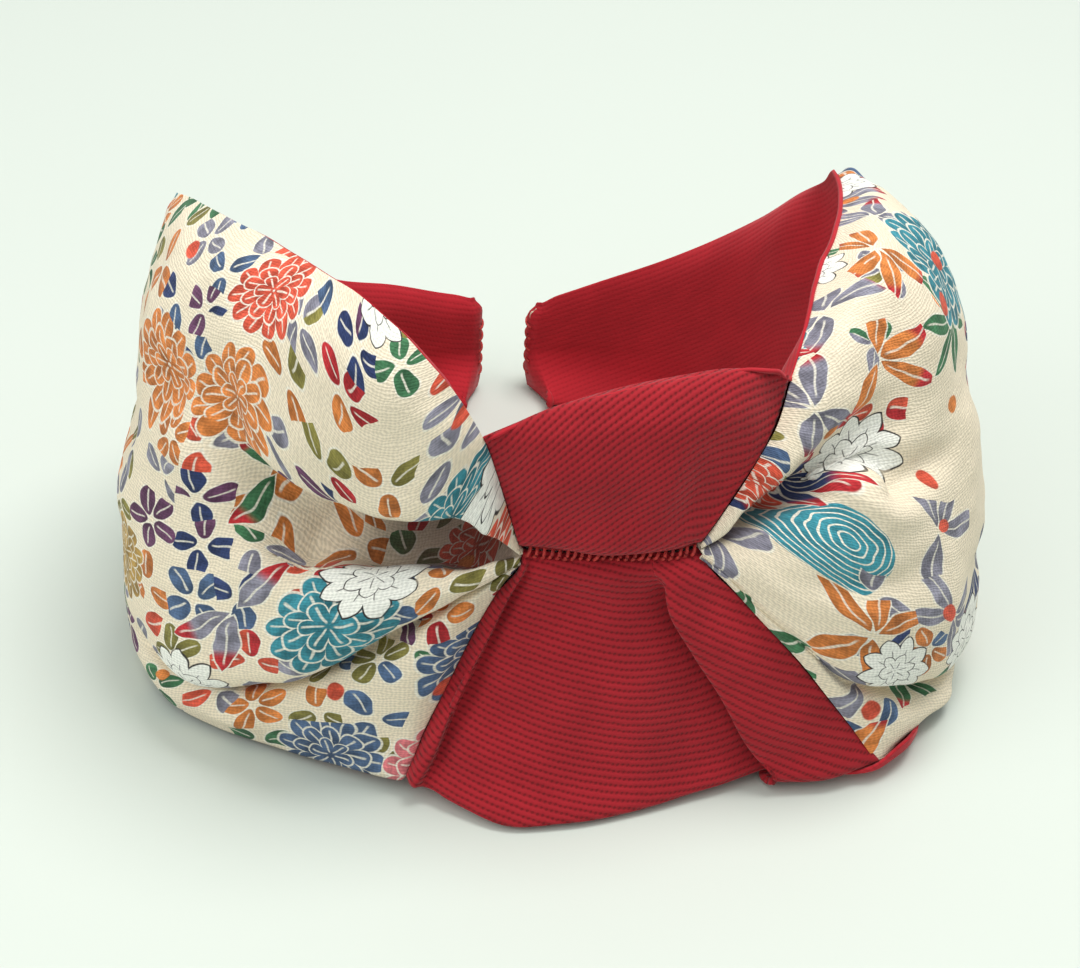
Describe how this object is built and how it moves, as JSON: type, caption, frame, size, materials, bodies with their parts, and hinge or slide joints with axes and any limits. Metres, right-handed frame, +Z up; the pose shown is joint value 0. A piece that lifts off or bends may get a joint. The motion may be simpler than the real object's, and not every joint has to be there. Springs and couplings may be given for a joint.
{
  "type": "knotted headband",
  "caption": "Wide puffed fabric headband, printed outside and twill lined, gathered into a stitched knot at the front; springs open to hold hair.",
  "frame": {"origin": "centre of the footprint, on the surface that the band rests on when it lies on its edge", "axes": "+Z up, the knot faces -Y, the gap between the tips is at +Y, +X to the right seen from the knot's side"},
  "size_m": [0.1791, 0.1537, 0.101],
  "materials": {
    "print_fabric": "matte crepe with a multicolour floral print",
    "twill_fabric": "matte twill",
    "core_plastic": "smooth",
    "stitch_thread": "satin thread"
  },
  "bodies": {
    "crown": {"core_band_front": "core_plastic", "lining_front": "twill_fabric", "upper_flap": "twill_fabric", "lower_flap_panel": "twill_fabric", "lower_flap_pleat": "twill_fabric", "lower_flap_edge": "twill_fabric", "print_wing_left": "print_fabric", "print_wing_right": "print_fabric", "knot_stitches": "stitch_thread"},
    "left_arm": {"core_band_left": "core_plastic", "lining_left": "twill_fabric", "print_arm_left": "print_fabric", "tip_stitches_left": "stitch_thread"},
    "right_arm": {"core_band_right": "core_plastic", "lining_right": "twill_fabric", "print_arm_right": "print_fabric", "tip_stitches_right": "stitch_thread"}
  },
  "joints": [
    {"name": "left_arm_flex", "type": "hinge", "parent": "crown", "child": "left_arm", "pos_m": [-0.05718, -0.02446, 0.045], "axis": [0, 0, 1], "range_deg": [-2, 20], "stiffness_Nm_per_rad": 0.5},
    {"name": "right_arm_flex", "type": "hinge", "parent": "crown", "child": "right_arm", "pos_m": [0.05358, -0.02446, 0.045], "axis": [0, 0, -1], "range_deg": [-2, 20], "stiffness_Nm_per_rad": 0.5}
  ]
}
